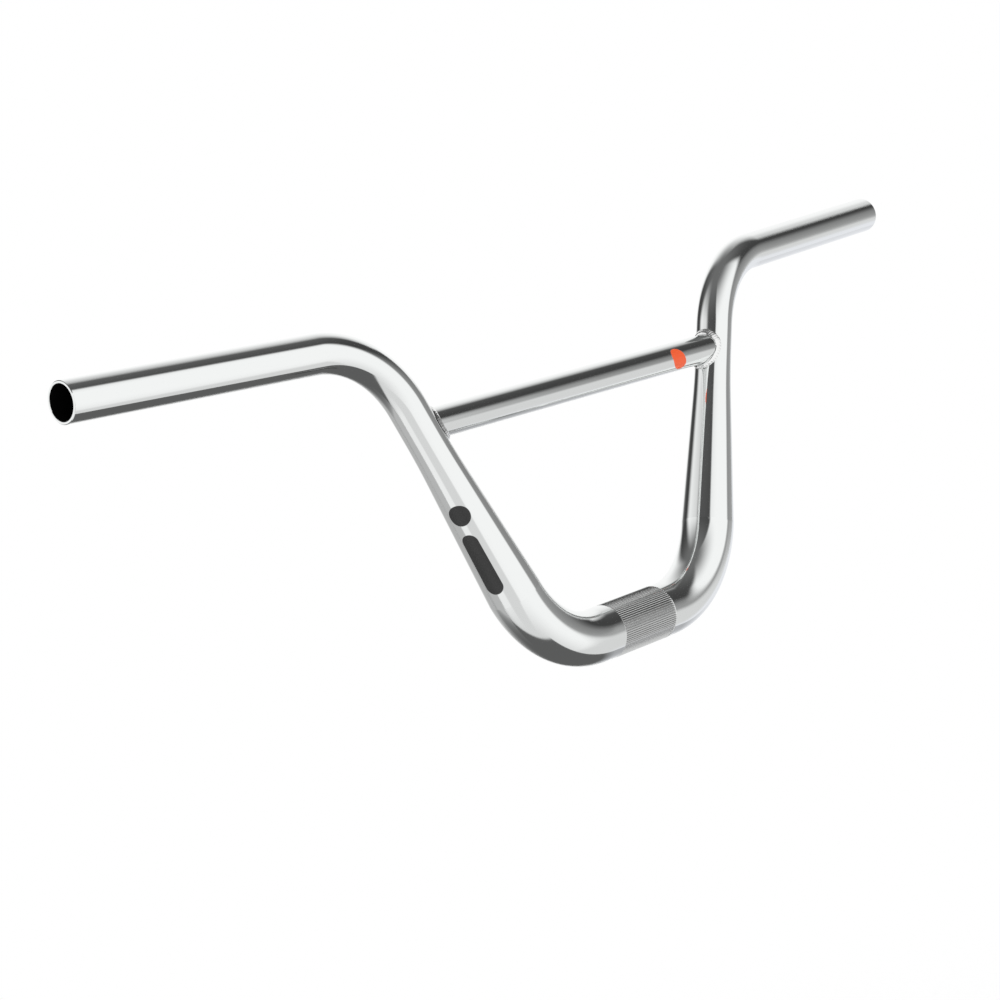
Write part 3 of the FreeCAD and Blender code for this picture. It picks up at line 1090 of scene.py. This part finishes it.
@dataclass
class Studio:
    """White surroundings with grey cards for the polished metal to mirror, a pale floor and one soft lamp."""

    cards: tuple[DomeCard | GroundCard, ...] = CARDS
    sky_light: float = 0.8
    floor_level: float = -400.0
    floor_rings: tuple[float, ...] = (0.0, 300.0, 700.0, 1200.0, 2500.0, 5000.0, 9000.0)
    floor_columns: int = 96
    floor_dark: Colour = (0.90, 0.90, 0.90, 1.0)
    floor_pale: Colour = (0.93, 0.93, 0.93, 1.0)
    floor_grain: float = 320.0
    floor_fade: tuple[float, float] = (0.45, 0.9)
    lamp_energy: float = 0.95
    lamp_spread: float = 70.0
    lamp_tilt: tuple[float, float, float] = (-12.0, 8.0, 0.0)

    def world(self) -> None:
        """Make the world: white for the camera, mirrors and glass, and a plain level of light elsewhere."""
        world = bpy.data.worlds.new("white_room")
        bpy.context.scene.world = world
        world.use_nodes = True
        graph = Graph(world.node_tree)
        path = graph.node("ShaderNodeLightPath")
        camera, glossy, clear = (Socket(graph, path.outputs[name]) for name in
                                 ("Is Camera Ray", "Is Glossy Ray", "Is Transmission Ray"))
        shown = graph.math(Op.MINIMUM, camera + glossy + clear, 1.0)
        strength = self.sky_light + (1.0 - self.sky_light) * shown
        sky = graph.node("ShaderNodeBackground", {}, {"Color": (1.0, 1.0, 1.0, 1.0), "Strength": strength})
        graph.output(sky.outputs[0], "ShaderNodeOutputWorld")

    def floor(self) -> bpy.types.Object:
        """Build the floor: a disc whose matt pale middle takes the shadow and whose rim turns to plain white.

        Point = (ring x cos a, ring x sin a, floor level).

        Returns:
            The floor.
        """
        reach = np.array(self.floor_rings)[:, None]
        angle = circle(self.floor_columns)[None]
        level = np.full((len(reach), self.floor_columns), self.floor_level)
        points = np.stack([reach * np.cos(angle), reach * np.sin(angle), level], -1)
        material, graph = new_material("floor_paper")
        x, y, _ = graph.parts(graph.object_place())
        away = graph.math(Op.SQRT, x * x + y * y)
        grain = graph.noise(graph.object_place(), self.floor_grain)
        colour = graph.blend(grain, self.floor_dark, self.floor_pale)
        paper = graph.node("ShaderNodeBsdfDiffuse", {}, {"Color": colour})
        white = graph.node("ShaderNodeEmission", {}, {"Color": (1.0, 1.0, 1.0, 1.0)})
        far = graph.ramp(away, *self.floor_fade)
        graph.mixed(far, paper, white)
        return make_piece("floor", points, False, True, [material])

    def lamp(self) -> None:
        """Hang one broad soft lamp overhead, for the floor's shadow. The metal mirrors the cards instead."""
        light = bpy.data.lights.new("overhead", "SUN")
        light.energy = self.lamp_energy
        light.angle = math.radians(self.lamp_spread)
        lamp = bpy.data.objects.new("overhead", light)
        lamp.rotation_euler = tuple(math.radians(tilt) for tilt in self.lamp_tilt)
        lamp.visible_glossy = False
        bpy.context.scene.collection.objects.link(lamp)

    def build(self) -> None:
        """Build the room, the floor, the cards and the lamp."""
        self.world()
        floor = self.floor()
        floor.visible_glossy = False
        for card in self.cards:
            piece = card.build()
            piece.visible_camera = False
            piece.visible_diffuse = False
            piece.visible_shadow = False
        self.lamp()


@dataclass
class PhotoCamera:
    """The camera, as found from the outline of the bar in the photograph."""

    azimuth: float = -49.49
    elevation: float = 3.93
    roll: float = 13.02
    distance: float = 1640.12
    target: tuple[float, float, float] = (-88.53, 0.0, 91.11)
    focal_pixels: float = 2948.07
    image_pixels: float = 1000.0
    sensor: float = 36.0
    far_clip: float = 1000.0

    def build(self) -> None:
        """Make the camera: it looks at the target from an azimuth and elevation, rolled about its view."""
        azimuth, elevation, roll = (math.radians(a) for a in (self.azimuth, self.elevation, self.roll))
        back = np.array([
            math.sin(azimuth) * math.cos(elevation), -math.cos(azimuth) * math.cos(elevation),
            math.sin(elevation)])
        level = unit(np.cross(-back, np.array([0.0, 0.0, 1.0])))
        down = np.cross(-back, level)
        right = math.cos(roll) * level + math.sin(roll) * down
        up = np.cross(back, right)
        place = (np.array(self.target) + self.distance * back) * MM
        data = bpy.data.cameras.new("photo_camera")
        data.sensor_width = self.sensor
        data.lens = self.focal_pixels * self.sensor / self.image_pixels
        data.clip_end = self.far_clip
        camera = bpy.data.objects.new("photo_camera", data)
        turned = np.eye(4)
        turned[:3] = np.stack([right, up, back, place], -1)
        camera.matrix_world = Matrix(turned.tolist())
        bpy.context.scene.collection.objects.link(camera)
        bpy.context.scene.camera = camera


def main() -> None:
    """Build the bar's pieces, the studio and the camera."""
    logging.basicConfig(level=logging.INFO, format="%(name)s %(message)s")
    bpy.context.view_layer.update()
    bpy.context.scene.view_settings.view_transform = "Standard"
    line = Centreline()
    black, orange = (0.022, 0.022, 0.022, 1.0), (1.0, 0.115, 0.018, 1.0)
    leg_foot = line.half - line.leg_start
    prints = (
        Print(black, turn=248.0, along=leg_foot - 60.5, radius=12.8, half_wide=6.3, half_long=6.3,
              corner=6.2),
        Print(black, turn=257.0, along=leg_foot - 29.0, radius=14.4, half_wide=5.2, half_long=19.5,
              corner=5.1),
    )
    polish = PolishedAlloy("polished_bar", length=2 * line.half, girth=90.0, prints=prints)
    # The bore is painted near-black as shade.
    BarTube(line).build(polish, BoreShadeFinish("raw_bore_painted_shade"))
    ClampKnurl().build(KNURLED_ALLOY)
    crossbar = Crossbar(line)
    span = 2 * float(crossbar.cope(np.array([0.0]), np.array([crossbar.height]))[0])
    patch = Print(orange, turn=192.0, along=span / 2 + 92.5, radius=crossbar.radius, half_wide=7.2,
                  half_long=6.2, corner=6.0, lean=0.4)
    crossbar.build(PolishedAlloy("polished_crossbar", length=span, girth=55.0, prints=(patch,)))
    WeldBeads(crossbar).build(WELD_METAL)
    Studio().build()
    PhotoCamera().build()


if __name__ == "__main__":
    main()
